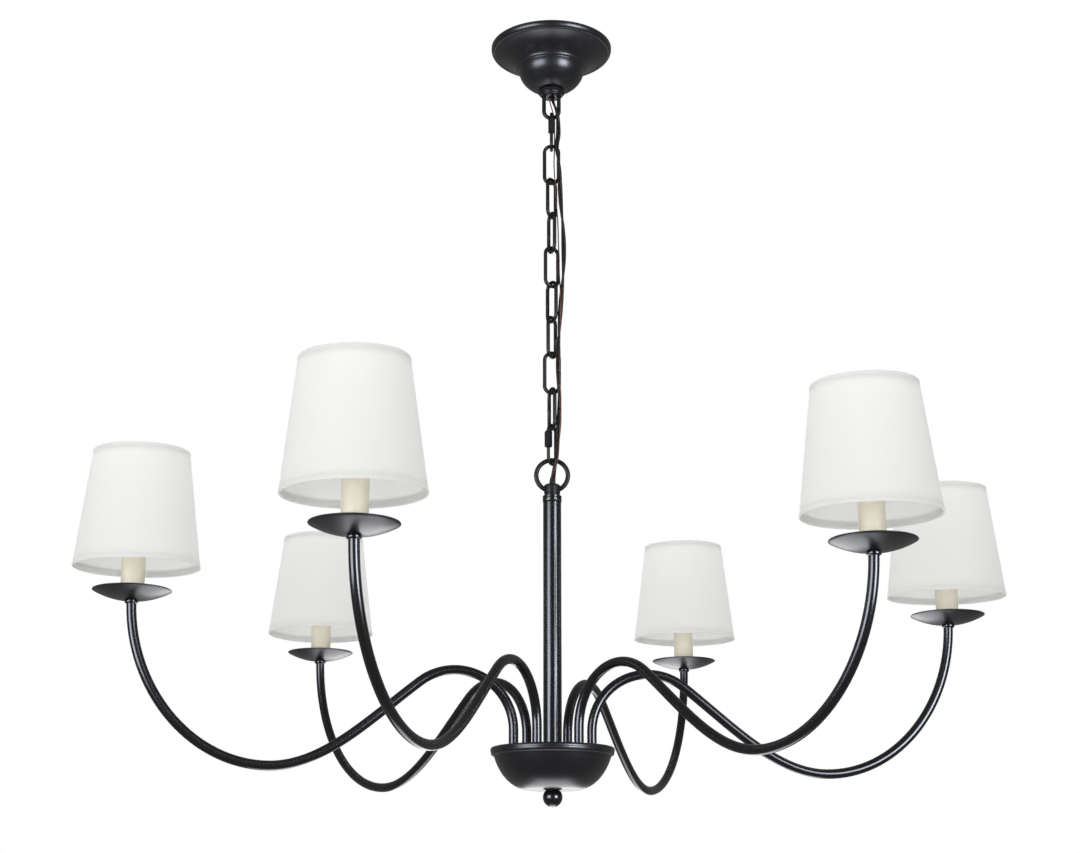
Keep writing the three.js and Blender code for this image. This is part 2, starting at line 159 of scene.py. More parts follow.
class Finish:
    """A material built node by node on a Principled shader."""

    def __init__(self, name, **values):
        self.material = bpy.data.materials.new(name)
        self.material.use_nodes = True
        self.tree = self.material.node_tree
        self.shader = self.tree.nodes["Principled BSDF"]
        for socket, value in values.items():
            self.put(self.shader.inputs[socket.replace("_", " ")], value)

    def put(self, socket, value):
        if isinstance(value, Wire):
            self.tree.links.new(value.socket, socket)
        else:
            socket.default_value = value

    def node(self, kind, settings=None, values=None, output=0):
        """Adds a node: its settings first, then the values or wires of its sockets."""
        node = self.tree.nodes.new(kind)
        for setting, value in (settings or {}).items():
            setattr(node, setting, value)
        for socket, value in (values or {}).items():
            self.put(node.inputs[socket], value)
        return Wire(self, node.outputs[output])

    def place(self):
        """Where a point lies on the object, in metres."""
        return self.node("ShaderNodeTexCoord", output="Object")

    def part(self, vector, axis):
        """One coordinate of a vector."""
        return self.node("ShaderNodeSeparateXYZ", None, {0: vector}, axis)

    def noise(self, where, scale, detail=2):
        values = {"Vector": where, "Scale": scale, "Detail": detail}
        return self.node("ShaderNodeTexNoise", None, values, "Fac")

    def blend(self, share, first, second):
        """A colour between two others."""
        return self.node(
            "ShaderNodeMix", {"data_type": "RGBA"}, {0: share, 6: first, 7: second}, 2
        )

    def bump(self, height, distance):
        values = {"Height": height, "Distance": distance, "Strength": 1.0}
        self.set("Normal", self.node("ShaderNodeBump", None, values))

    def set(self, socket, value):
        self.put(self.shader.inputs[socket], value)

    def glow_through(self, colour, share):
        """Lets a share of the light through, as thin cloth and thin plastic do."""
        through = self.node("ShaderNodeBsdfTranslucent", None, {"Color": colour})
        surface = Wire(self, self.shader.outputs[0])
        both = self.node("ShaderNodeMixShader", None, {0: share, 1: surface, 2: through})
        self.put(self.tree.nodes["Material Output"].inputs["Surface"], both)


class Sky(Finish):
    """The same tools on the world's nodes."""

    def __init__(self, world):
        self.tree = world.node_tree
        self.shader = self.tree.nodes["Background"]


# The sweep is brightest behind the light, and dim where the metal mirrors it.
sky = Sky(world)
towards = sky.node("ShaderNodeTexCoord", output="Generated")
depth = sky.part(towards, "Y")
behind = sky.node(
    "ShaderNodeMapRange",
    {"interpolation_type": "SMOOTHSTEP"},
    {0: depth, 1: SWEEP_TURNS, 2: SWEEP_FULL},
)
sweep = behind * (SWEEP_BEHIND - SWEEP_FRONT) + SWEEP_FRONT
seen = sky.node("ShaderNodeLightPath", output="Is Camera Ray")
mirrored = sky.node("ShaderNodeLightPath", output="Is Glossy Ray")
unseen = sweep * (1 - mirrored * (1 - SWEEP_REFLECTED))
sky.set("Strength", seen + (1 - seen) * unseen)
sky.set("Color", (1, 1, 1, 1))

floor_paint = Finish("floor_paint", Roughness=0.7)
floor_tone = floor_paint.noise(floor_paint.place(), 3)
floor_paint.set(
    "Base Color",
    floor_paint.blend(floor_tone, (0.80, 0.80, 0.79, 1), (0.86, 0.86, 0.85, 1)),
)
floor.data.materials.append(floor_paint.material)


# ---- Lamp cord ----
# Two insulated black strands twisted together. They leave the canopy loop's bore, hang beside
# the chain and go down into the ring's base. The cord is cut into a length for each chain joint.

mm = 0.001
CORD_STRAND = 2.5 * mm
CORD_LAY = 125 * mm
CORD_BEND = 12 * mm
CORD_ROUTE = [
    (1, 0, -40), (1, 0, -50), (1, 0, -57.5), (2.2, -2.2, -64), (4.6, -4.8, -72),
    (6.4, -5.3, -80), (7.1, -4.5, -90), (7, -4.7, -102), (5.6, -5.1, -112), (5.7, -5.2, -120),
    (7.2, -5.2, -130), (8.4, -5, -141), (8.6, -4.7, -156), (9.2, -4.2, -171), (10.1, -3.7, -186),
    (11.5, -3.2, -202), (12.2, -3.2, -218), (12.4, -3.6, -234), (12, -4, -250), (11, -4, -266),
    (9.8, -3.2, -281), (8.7, -2.8, -296), (7.8, -2.8, -310), (7, -3.4, -325), (6.5, -4.7, -339),
    (6.4, -5.1, -355), (6.6, -5, -372), (7.2, -4.3, -389), (7.2, -4, -404), (6.6, -3.6, -418),
    (5.5, -3.7, -432), (4.5, -4.7, -446), (3.5, -5.3, -454), (2, -3.6, -463), (1, -1.3, -470.5),
    (1, -0.1, -476), (1, 0, -486.5),
]
HUNG_BODIES = (
    ["ceiling_bracket", "upper_quick_link"]
    + [f"chain_link_{number}" for number in range(1, 9)]
    + ["lower_quick_link", "fixture"]
)
joint_height = {
    joint["child"]: joint["pos_m"][2] for joint in frame["joints"] if "pos_m" in joint
}


def smooth_route(points, per_span=14):
    """Even points on a smooth curve through a route given in millimetres."""
    points = [Vector(point) * mm for point in points]
    ends = [2 * points[0] - points[1], *points, 2 * points[-1] - points[-2]]
    route = []
    for a, b, c, d in zip(ends, ends[1:], ends[2:], ends[3:]):
        for step in range(per_span):
            t = step / per_span
            bend = (2 * a - 5 * b + 4 * c - d) * t + (3 * b - a - 3 * c + d) * t * t
            route.append(b + 0.5 * t * ((c - a) + bend))
    return [*route, points[-1]]


def strand(vertices, faces, centres, radius, sides):
    """Adds a closed round tube along a run of centres."""
    first = len(vertices)
    across = Vector((1, 0, 0))
    for index, centre in enumerate(centres):
        ahead = centres[min(index + 1, len(centres) - 1)] - centres[max(index - 1, 0)]
        ahead.normalize()
        across = (across - across.dot(ahead) * ahead).normalized()
        beside = ahead.cross(across)
        for side in range(sides):
            angle = 2 * math.pi * side / sides
            out = across * math.cos(angle) + beside * math.sin(angle)
            vertices.append(centre + out * radius)
    for ring in range(len(centres) - 1):
        start = first + ring * sides
        for side in range(sides):
            after = (side + 1) % sides
            lower = start + side, start + after
            faces.append((*lower, lower[1] + sides, lower[0] + sides))
    faces.append(tuple(range(first + sides - 1, first - 1, -1)))
    last = first + (len(centres) - 1) * sides
    faces.append(tuple(range(last, last + sides)))


def hang_cord(name, node, route, offsets, radius, sides, finish):
    """Cuts a cord at the middle of each link into separate lengths."""
    joints = [joint_height[body] for body in HUNG_BODIES[1:]]
    cuts = [(above + below) / 2 for above, below in zip(joints, joints[1:])]
    edges = [route[0].z, *cuts, route[-1].z]
    for number, (above, below) in enumerate(zip(edges, edges[1:]), 1):
        run = [index for index, point in enumerate(route) if below <= point.z <= above]
        run = list(range(max(run[0] - 1, 0), run[-1] + 1))
        vertices, faces = [], []
        for strand_offset in offsets:
            centres = [route[index] + strand_offset(index) for index in run]
            strand(vertices, faces, centres, radius, sides)
        mesh = bpy.data.meshes.new(f"{name}_{number}")
        mesh.from_pydata(vertices, [], faces)
        mesh.shade_smooth()
        mesh.materials.append(finish.material)
        piece = bpy.data.objects.new(mesh.name, mesh)
        bpy.context.collection.objects.link(piece)
        path = [route[index] for index in run]
        length = sum((b - a).length for a, b in zip(path, path[1:]))
        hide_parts(node)
        joint = joints[number - 1]
        start = (0, 0, min(joint + CORD_BEND, above))
        end = (0, 0, max(joint - CORD_BEND, below))
        HUNG_BODIES[number - 1]
        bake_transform(piece)


cord_jacket = Finish("cord_jacket", Roughness=0.38, IOR=1.4)
cord_grain = cord_jacket.noise(cord_jacket.place(), 900)
cord_jacket.set(
    "Base Color",
    cord_jacket.blend(cord_grain, (0.006, 0.006, 0.006, 1), (0.012, 0.012, 0.012, 1)),
)
cord_jacket.bump(cord_grain, 0.02 * mm)

cord_line = smooth_route(CORD_ROUTE)


def twisted(turn):
    """Where a strand lies beside the middle of the twist."""

    def beside(index):
        angle = turn + 2 * math.pi * (cord_line[0].z - cord_line[index].z) / CORD_LAY
        return Vector((math.cos(angle), math.sin(angle), 0)) * CORD_STRAND / 2

    return beside


hang_cord(
    "lamp_cord_length", "lamp_cord", cord_line, [twisted(0), twisted(math.pi)],
    CORD_STRAND / 2, 12, cord_jacket,
)

# ---- Ground wire ----
# One thin bare copper wire, aged to brown. It follows the lamp cord and stays a little in front.

GROUND_WIRE = 1.2 * mm
GROUND_ROUTE = [
    (-2.1, 0, -40), (-2.1, 0, -50), (-2.1, 0, -57.5), (-0.8, 2, -64), (1.6, 3.7, -72),
    (3.2, 3.7, -80), (3.3, 2.8, -91), (3.2, 3.3, -104), (3, 3.3, -118), (2.6, 0, -130),
    (2.8, -3.3, -141), (3.4, -3.5, -153), (4.2, -2.5, -170), (5.6, -2, -186), (6.6, -1.3, -204),
    (7, -1.5, -222), (7.6, -2.4, -240), (7.7, -4.2, -256), (8.6, -6.9, -272), (9.2, -6.8, -285),
    (8.6, -6.4, -301), (8.2, -6.7, -318), (7.9, -7.8, -336), (7.6, -8.7, -353), (8, -8.4, -371),
    (8.8, -7.6, -388), (8.8, -7.3, -404), (8.2, -6.9, -418), (7.1, -6.9, -432), (6.3, -7.9, -446),
    (5.3, -8.6, -454), (2.8, -6.9, -463), (-0.9, -4.6, -470), (-2.1, -1.9, -474.6),
    (-2.1, 0, -479), (-2.1, 0, -486.5),
]

bare_copper = Finish("bare_copper", Metallic=0.85, Roughness=0.42)
copper_tone = bare_copper.noise(bare_copper.place(), 160, 4)
bare_copper.set(
    "Base Color",
    bare_copper.blend(copper_tone, (0.05, 0.028, 0.024, 1), (0.20, 0.085, 0.06, 1)),
)
bare_copper.bump(copper_tone, 0.03 * mm)

hang_cord(
    "ground_wire_length", "ground_wire", smooth_route(GROUND_ROUTE), [lambda index: Vector()],
    GROUND_WIRE / 2, 8, bare_copper,
)


# ---- Ceiling hardware ----
# A zinc-plated crossbar and its screws hold a threaded brass nipple and its locknut. The canopy
# covers them, and they show only from above.

zinc_plate = Finish("zinc_plate", Metallic=0.9)
zinc_place = zinc_plate.place()
zinc_spangle = zinc_plate.node(
    "ShaderNodeTexVoronoi", None, {"Vector": zinc_place, "Scale": 240}, "Distance"
)
zinc_scratch = zinc_plate.noise(zinc_place, 1200, 3)
zinc_plate.set(
    "Base Color",
    zinc_plate.blend(zinc_spangle, (0.66, 0.66, 0.64, 1), (0.46, 0.46, 0.45, 1)),
)
zinc_plate.set("Roughness", zinc_spangle * 0.2 + 0.28)
zinc_plate.bump(zinc_scratch, 0.02 * mm)

raw_brass = Finish("raw_brass", Metallic=1.0)
brass_place = raw_brass.place()
brass_thread = raw_brass.node(
    "ShaderNodeTexWave",
    {"bands_direction": "Z", "wave_type": "BANDS"},
    {"Vector": brass_place, "Scale": 310, "Distortion": 0.0},
    "Fac",
)
brass_tone = raw_brass.noise(brass_place, 90)
raw_brass.set(
    "Base Color",
    raw_brass.blend(brass_tone, (0.62, 0.44, 0.18, 1), (0.80, 0.62, 0.31, 1)),
)
raw_brass.set("Roughness", brass_tone * 0.15 + 0.22)
raw_brass.bump(brass_thread, 0.35 * mm)

hardware_finish = {
    "mounting_strap": zinc_plate,
    "strap_screw_1": zinc_plate,
    "strap_screw_2": zinc_plate,
    "nipple_locknut": zinc_plate,
    "hub_rod": zinc_plate,
    "hub_nut": zinc_plate,
    "center_nipple": raw_brass,
}
for node, finish in hardware_finish.items():
    frame["nodes"][node].data.materials.clear()
    frame["nodes"][node].data.materials.append(finish.material)


# ---- Canopy ----
# A spun steel shell with an upright rim, a hollow cove, a small step and a round dome. It is
# powder coated satin black, as all the fixture's metal is.

def black_finish(name, deep, pale, roughness, mottle, skin_scale, skin_depth, **values):
    """A cured black coat: a faint cloudiness in its tone and gloss over a fine skin."""
    # The bluish specular tint is painted light: it gives the coat's reflections the bluish colour
    # of the light they mirror.
    coat = Finish(name, Specular_Tint=(0.88, 0.90, 1.0, 1), **values)
    place = coat.place()
    cloud = coat.noise(place, 35, 3)
    skin = coat.noise(place, skin_scale, 2)
    coat.set("Base Color", coat.blend(cloud, (*deep, 1), (*pale, 1)))
    coat.set("Roughness", cloud * mottle + roughness)
    coat.bump(skin, skin_depth * mm)
    return coat


spun_black = black_finish(
    "spun_black", (0.0048, 0.0047, 0.0049), (0.0078, 0.0076, 0.0079), 0.28, 0.06, 300, 0.003,
    IOR=1.65,
)


def span(start, *controls, count=8):
    """Points on a Bezier curve after its start, down to its last control point."""
    points = [Vector(point) for point in (start, *controls)]
    found = []
    for step in range(1, count + 1):
        left = points
        while len(left) > 1:
            left = [a.lerp(b, step / count) for a, b in zip(left, left[1:])]
        found.append(tuple(left[0]))
    return found


def raise_rings(name, line, around=96, middle=0):
    """Extrudes a circle up a line of radius and height, scaled at each step, at middle on X."""
    (radius, height), *rest = line
    bpy.ops.object.select_all(action="DESELECT")
    bpy.ops.mesh.primitive_circle_add(
        vertices=around, radius=radius * mm, location=(middle * mm, 0, height * mm)
    )
    piece = bpy.context.object
    piece.name = name
    bpy.ops.object.transform_apply()
    bpy.ops.object.mode_set(mode="EDIT")
    bpy.ops.mesh.select_all(action="SELECT")
    for next_radius, next_height in rest:
        rise = (0, 0, (next_height - height) * mm)
        bpy.ops.mesh.extrude_region_move(TRANSFORM_OT_translate={"value": rise})
        growth = next_radius / radius
        centre = (middle * mm, 0, next_height * mm)
        bpy.ops.transform.resize(value=(growth, growth, 1), center_override=centre)
        radius, height = next_radius, next_height
    bpy.ops.object.mode_set(mode="OBJECT")
    return piece


def close_up(piece, axis_ends=False):
    """Joins a line of rings that comes back to its start, or fills both its ends."""
    bpy.ops.object.mode_set(mode="EDIT")
    bpy.ops.mesh.select_all(action="SELECT")
    bpy.ops.mesh.remove_doubles(threshold=0.01 * mm)
    if axis_ends:
        bpy.ops.mesh.fill_holes(sides=0)
    bpy.ops.mesh.select_all(action="SELECT")
    bpy.ops.mesh.normals_make_consistent(inside=False)
    bpy.ops.object.mode_set(mode="OBJECT")


def finish_piece(piece, body, finish, slot, *nodes, sharp=35):
    """Smooths a piece, gives it its finish and hangs it on its body."""
    bpy.ops.object.select_all(action="DESELECT")
    piece.select_set(True)
    bpy.context.view_layer.objects.active = piece
    bpy.ops.object.shade_smooth_by_angle(angle=math.radians(sharp))
    piece.data.materials.clear()
    piece.data.materials.append(finish.material)
    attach(piece, body)
    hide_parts(*nodes)
    return piece


def apply_modifier(piece, kind, **settings):
    """Adds a modifier and applies it."""
    modifier = piece.modifiers.new(kind.lower(), kind)
    for setting, value in settings.items():
        setattr(modifier, setting, value)
    bpy.context.view_layer.objects.active = piece
    bpy.ops.object.modifier_apply(modifier=modifier.name)


def wall_inward(piece, wall):
    """Gives a shell its wall, on the side away from its faces."""
    close_up(piece)
    apply_modifier(piece, "SOLIDIFY", thickness=wall * mm, offset=-1, use_even_offset=True)


canopy_low, canopy_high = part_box("canopy")
CANOPY_RADIUS = (canopy_high[0] - canopy_low[0]) / 2 / mm
CANOPY_DOME = 34.4
CANOPY_DOME_DEPTH = 26
CANOPY_RING = 24.6
CANOPY_HOLE = 10.8
SPUN_WALL = 1.0

canopy_line = [(CANOPY_RADIUS, 0), (CANOPY_RADIUS, -1.2)]
canopy_line += span(canopy_line[-1], (CANOPY_RADIUS, -5.2), (60.9, -6.7), count=8)
canopy_line += [(60.4, -6.7), (60.1, -6.4), (59.5, -6.9)]
canopy_line += span(canopy_line[-1], (45, -12), (37.0, -22.6), count=16)
canopy_line += [(36.8, -23.4), (36.2, -23.9), (35.2, -24.1), (34.5, -24.3)]
DOME_STEPS = 20
hole_angle = math.acos(CANOPY_HOLE / CANOPY_DOME)
for step in range(DOME_STEPS + 1):
    angle = hole_angle * step / DOME_STEPS
    dome_point = (
        CANOPY_DOME * math.cos(angle), -CANOPY_RING - CANOPY_DOME_DEPTH * math.sin(angle)
    )
    canopy_line.append(dome_point)
canopy = raise_rings("canopy_shell", canopy_line, 128)
wall_inward(canopy, SPUN_WALL)
finish_piece(canopy, "canopy", spun_black, "black_metal", "canopy")

# ---- Screw collar ----
# A turned steel ring nut that screws up the loop's body and holds the canopy to the ceiling.
# It and the chain have a duller black than the spun and drawn pieces, over a rougher skin.

forged_black = black_finish(
    "forged_black", (0.004, 0.004, 0.004), (0.008, 0.008, 0.008), 0.32, 0.12, 600, 0.006,
    IOR=1.42,
)


def heights(node):
    """The bottom and the top of a node, in millimetres."""
    low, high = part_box(node)
    return low[2] / mm, high[2] / mm


collar_top = heights("loop_collar")[1]
COLLAR_RADIUS = 13.7
COLLAR_BORE = 10.6
collar_line = [
    (COLLAR_BORE, collar_top), (13.0, collar_top), (COLLAR_RADIUS, collar_top - 0.7),
    (COLLAR_RADIUS, collar_top - 2.6), (13.1, collar_top - 3.2), (12.3, collar_top - 3.4),
    (12.2, collar_top - 4.2), (11.9, collar_top - 4.7), (11.5, collar_top - 5.0),
    (11.3, collar_top - 5.6), (COLLAR_BORE, collar_top - 5.6), (COLLAR_BORE, collar_top),
]
screw_collar = raise_rings("screw_collar", collar_line, 64)
close_up(screw_collar)
finish_piece(screw_collar, "loop_collar", forged_black, "black_metal", "loop_collar")


# ---- Canopy loop ----
# A cast closed loop with a round threaded body. The body holds the nipple inside the canopy and
# has a bore for the wires.

LOOP_WIDTH = 19.8
LOOP_WIRE = 4.2
LOOP_LENGTH = 36


def oval_ring(name, width, length, wire, bottom, heading, around=48, sides=16):
    """A ring of round wire whose upper half is lifted to make an oval, turned to its heading."""
    bpy.ops.object.select_all(action="DESELECT")
    lift = (length - width) * mm
    centre = (0, 0, (bottom + width / 2) * mm)
    bpy.ops.mesh.primitive_torus_add(
        major_radius=(width - wire) / 2 * mm, minor_radius=wire / 2 * mm,
        major_segments=around, minor_segments=sides, location=centre,
        rotation=(math.pi / 2, math.pi / around, 0),
    )
    piece = bpy.context.object
    piece.name = name
    bpy.ops.object.transform_apply()
    for vertex in piece.data.vertices:
        vertex.select = vertex.co.z > centre[2]
    for edge in piece.data.edges:
        edge.select = all(piece.data.vertices[index].select for index in edge.vertices)
    for face in piece.data.polygons:
        face.select = all(piece.data.vertices[index].select for index in face.vertices)
    bpy.ops.object.mode_set(mode="EDIT")
    bpy.ops.transform.translate(value=(0, 0, lift))
    bpy.ops.object.mode_set(mode="OBJECT")
    piece.data.transform(Matrix.Rotation(math.radians(heading), 4, "Z"))
    return piece


loop_bottom, loop_top = heights("canopy_loop")
LOOP_BODY = 10.2
LOOP_BODY_FOOT = -56.7
LOOP_BORE = 3.6
body_line = [
    (LOOP_BORE, loop_top), (LOOP_BODY - 0.6, loop_top), (LOOP_BODY, loop_top - 0.6),
    (LOOP_BODY, LOOP_BODY_FOOT + 1.6), (LOOP_BODY - 0.5, LOOP_BODY_FOOT + 0.6),
    (LOOP_BODY - 1.6, LOOP_BODY_FOOT), (LOOP_BORE + 0.5, LOOP_BODY_FOOT),
    (LOOP_BORE, LOOP_BODY_FOOT + 0.5), (LOOP_BORE, loop_top),
]
loop_body = raise_rings("canopy_loop_body", body_line, 64)
close_up(loop_body)
finish_piece(loop_body, "ceiling_bracket", forged_black, "black_metal", "canopy_loop")

loop_eye = oval_ring("canopy_loop_eye", LOOP_WIDTH, LOOP_LENGTH, LOOP_WIRE, loop_bottom, 0, 64)
bpy.ops.object.mode_set(mode="EDIT")
bpy.ops.mesh.select_all(action="SELECT")
bpy.ops.mesh.bisect(
    plane_co=(0, 0, (LOOP_BODY_FOOT + 1) * mm), plane_no=(0, 0, 1),
    clear_outer=True, use_fill=True,
)
bpy.ops.object.mode_set(mode="OBJECT")
finish_piece(loop_eye, "ceiling_bracket", forged_black, "black_metal", "canopy_loop")

# ---- Quick links ----
# Ovals of plated wire, coated black, with a gap in one side that a chamfered sleeve nut closes.
# One joins the canopy loop to the chain and one joins the chain to the column's ring.

QUICK_WIDTH = 16.4
QUICK_LENGTH = 43.5
QUICK_WIRE = 3.4
QUICK_GAP_LOW = 4.95
QUICK_GAP_HIGH = 9.45
NUT_RADIUS = 3.85
NUT_FACETS = 6
NUT_FLATNESS = 0.92
NUT_CHAMFER = 1.0
NUT_SLACK = 0.25


def cut_gap(ring, along, between, wanted):
    """Saws a ring's wire at two planes, takes out the stretch between them and closes the ends."""
    bpy.context.view_layer.objects.active = ring
    bpy.ops.object.mode_set(mode="EDIT")
    for cut in between:
        bpy.ops.mesh.select_all(action="SELECT")
        bpy.ops.mesh.bisect(plane_co=Vector(along) * cut, plane_no=along)
    bpy.ops.mesh.select_all(action="DESELECT")
    bpy.ops.object.mode_set(mode="OBJECT")
    for face in ring.data.polygons:
        inside = between[0] < face.center.dot(Vector(along)) < between[1]
        face.select = inside and wanted(face.center)
    bpy.ops.object.mode_set(mode="EDIT")
    bpy.ops.mesh.select_mode(type="FACE")
    bpy.ops.mesh.delete(type="FACE")
    bpy.ops.mesh.select_mode(type="VERT")
    bpy.ops.mesh.select_all(action="SELECT")
    bpy.ops.mesh.fill_holes(sides=0)
    bpy.ops.object.mode_set(mode="OBJECT")


def quick_link(name, heading, body):
    """The link's bent wire, with its gap on the side that the heading gives."""
    bottom = heights(name)[0]
    link = oval_ring(f"{name}_wire", QUICK_WIDTH, QUICK_LENGTH, QUICK_WIRE, bottom, 0)
    middle = bottom + QUICK_LENGTH / 2
    gap = ((middle + QUICK_GAP_LOW) * mm, (middle + QUICK_GAP_HIGH) * mm)
    cut_gap(link, (0, 0, 1), gap, lambda place: place.x < 0)
    link.data.transform(Matrix.Rotation(math.radians(heading), 4, "Z"))
    finish_piece(link, body, forged_black, "black_metal", name)


def quick_nut(name, heading, body):
    """The sleeve nut over the gap. Its side is pressed in to six flats."""
    bottom, top = heights(name)
    bore = QUICK_WIRE / 2 + NUT_SLACK
    side = (QUICK_WIDTH - QUICK_WIRE) / 2
    line = [
        (bore, bottom), (NUT_RADIUS - NUT_CHAMFER, bottom),
        (NUT_RADIUS, bottom + NUT_CHAMFER), (NUT_RADIUS, top - 1.6 * NUT_CHAMFER),
        (NUT_RADIUS - NUT_CHAMFER, top), (bore, top), (bore, bottom),
    ]
    nut = raise_rings(f"{name}_sleeve", line, NUT_FACETS * 4)
    close_up(nut)
    for vertex in nut.data.vertices:
        reach = math.hypot(vertex.co.x, vertex.co.y)
        if reach < (bore + NUT_SLACK) * mm:
            continue
        turn = math.atan2(vertex.co.y, vertex.co.x)
        facet = math.pi / NUT_FACETS
        off_centre = (turn % (2 * facet)) - facet
        flat = math.cos(facet * NUT_FLATNESS) / math.cos(off_centre * NUT_FLATNESS)
        vertex.co.x *= flat
        vertex.co.y *= flat
    nut.data.transform(Matrix.Translation((-side * mm, 0, 0)))
    nut.data.transform(Matrix.Rotation(math.radians(heading), 4, "Z"))
    finish_piece(nut, body, forged_black, "black_metal", name, sharp=20)


UPPER_QUICK_HEADING = 90
LOWER_QUICK_HEADING = 56
quick_link("upper_quick_link", UPPER_QUICK_HEADING, "upper_quick_link")
quick_nut("upper_quick_link_nut", UPPER_QUICK_HEADING, "upper_nut")
quick_link("lower_quick_link", LOWER_QUICK_HEADING, "lower_quick_link")
quick_nut("lower_quick_link_nut", LOWER_QUICK_HEADING, "lower_nut")

# ---- Chain ----
# Welded oval links of 9-gauge steel wire, coated black. Each hangs in the one above it, turned
# by a third of a turn or so, and has its weld on one straight side.

LINK_WIDTH = 18.4
LINK_LENGTH = 45.8
LINK_WIRE = 3.8
LINK_WELD = 0.22
WELD_REACH = 0.9
LINK_HEADINGS = [0, 56, 114, 29, 126, 59, 0, 112]

for number, heading in enumerate(LINK_HEADINGS, 1):
    node = f"chain_link_{number}"
    bottom, top = heights(node)
    link = oval_ring(
        f"{node}_wire", LINK_WIDTH, LINK_LENGTH, LINK_WIRE, bottom, 0, around=48, sides=20
    )
    weld = (bottom + top) / 2
    bpy.ops.object.mode_set(mode="EDIT")
    for step in (-1.0, -0.5, 0, 0.5, 1.0):
        bpy.ops.mesh.select_all(action="SELECT")
        bpy.ops.mesh.bisect(plane_co=(0, 0, (weld + step) * mm), plane_no=(0, 0, 1))
    bpy.ops.object.mode_set(mode="OBJECT")
    leg = (LINK_WIDTH - LINK_WIRE) / 2 * mm
    for vertex in link.data.vertices:
        off = abs(vertex.co.z / mm - weld)
        if vertex.co.x > 0 and off < WELD_REACH:
            swell = 1 + LINK_WELD * (1 - off) / 2
            vertex.co.x = leg + (vertex.co.x - leg) * swell
            vertex.co.y *= swell
    link.data.transform(Matrix.Rotation(math.radians(heading), 4, "Z"))
    finish_piece(link, node, forged_black, "black_metal", node)

# ---- Column ----
# A ring on a turned base screws into a grooved collar at the top of a plain steel tube.

ring_base, ring_top = heights("column_loop")
RING_DIAMETER = 36
RING_WIRE = 4.6
RING_CUT = 5 * mm
RING_CUT_TOP = (ring_base + 6) * mm
ring = oval_ring(
    "column_ring", RING_DIAMETER, RING_DIAMETER, RING_WIRE, ring_top - RING_DIAMETER, 0, 96, 20
)
cut_gap(ring, (1, 0, 0), (-RING_CUT, RING_CUT), lambda place: place.z < RING_CUT_TOP)
finish_piece(ring, "fixture", forged_black, "black_metal", "column_loop")

RING_BORE = 3.6
base_line = [
    (RING_BORE, ring_base), (7.5, ring_base), (7.5, ring_base + 0.4),
    (7.5, ring_base + 0.8), (7.5, ring_base + 1.6), (8.0, ring_base + 2.2),
    (8.0, ring_base + 9.4),
]
base_line += span(base_line[-1], (8.0, ring_base + 10.9), (5.6, ring_base + 11.5), count=6)
base_line += [(RING_BORE, ring_base + 11.6), (RING_BORE, ring_base)]
base = raise_rings("column_ring_base", base_line, 64)
close_up(base)
finish_piece(base, "fixture", forged_black, "black_metal", "column_loop")

drawn_black = black_finish(
    "drawn_black", (0.0048, 0.0047, 0.0049), (0.0078, 0.0076, 0.0079), 0.175, 0.04, 420, 0.001,
    IOR=1.65,
)

collar_top = heights("column_collar")[1]
tube_bottom, tube_top = heights("column")
COLLAR_RIB = 9.4
COLLAR_GROOVE = 8.9
grooved_line = [
    (RING_BORE, collar_top), (COLLAR_GROOVE, collar_top), (COLLAR_RIB, collar_top - 0.5),
    (COLLAR_RIB, collar_top - 2.1), (COLLAR_GROOVE, collar_top - 2.5),
    (COLLAR_GROOVE, collar_top - 2.9), (COLLAR_RIB, collar_top - 3.3),
    (COLLAR_RIB, tube_top + 0.9), (9.0, tube_top + 0.3),
    (RING_BORE, tube_top + 0.3), (RING_BORE, collar_top),
]
grooved = raise_rings("column_collar_rings", grooved_line, 64)
close_up(grooved)
finish_piece(grooved, "fixture", drawn_black, "black_metal", "column_collar")

COLUMN_RADIUS = 8.9
COLUMN_BORE = 7.7
column_line = [
    (COLUMN_BORE, tube_top), (COLUMN_RADIUS - 0.3, tube_top), (COLUMN_RADIUS, tube_top - 0.3),
    (COLUMN_RADIUS, tube_bottom), (COLUMN_BORE, tube_bottom), (COLUMN_BORE, tube_top),
]
column = raise_rings("column_tube", column_line, 96)
close_up(column)
finish_piece(column, "fixture", drawn_black, "black_metal", "column")

# ---- Hub ----
# A round steel plate carries the arms and the column. A spun bowl with a rolled shoulder closes
# it from below, and a ball finial on the rod holds the bowl up.

plate_bottom = heights("hub_plate")[0]
PLATE_RADIUS = 57.2
PLATE_BORE = 3.3
PLATE_THICKNESS = 2.4
plate_top = plate_bottom + PLATE_THICKNESS
plate_line = [
    (PLATE_BORE, plate_bottom), (PLATE_RADIUS, plate_bottom), (PLATE_RADIUS, plate_bottom + 2.2),
    (PLATE_RADIUS - 0.2, plate_top), (10.6, plate_top),
    (10.2, plate_bottom + 3.4), (9.2, plate_bottom + 3.6), (9.2, plate_bottom + 2.5),
    (PLATE_BORE, plate_bottom + 2.5), (PLATE_BORE, plate_bottom),
]
plate = raise_rings("hub_plate_disc", plate_line, 96)
close_up(plate)
finish_piece(plate, "fixture", spun_black, "black_metal", "hub_plate")

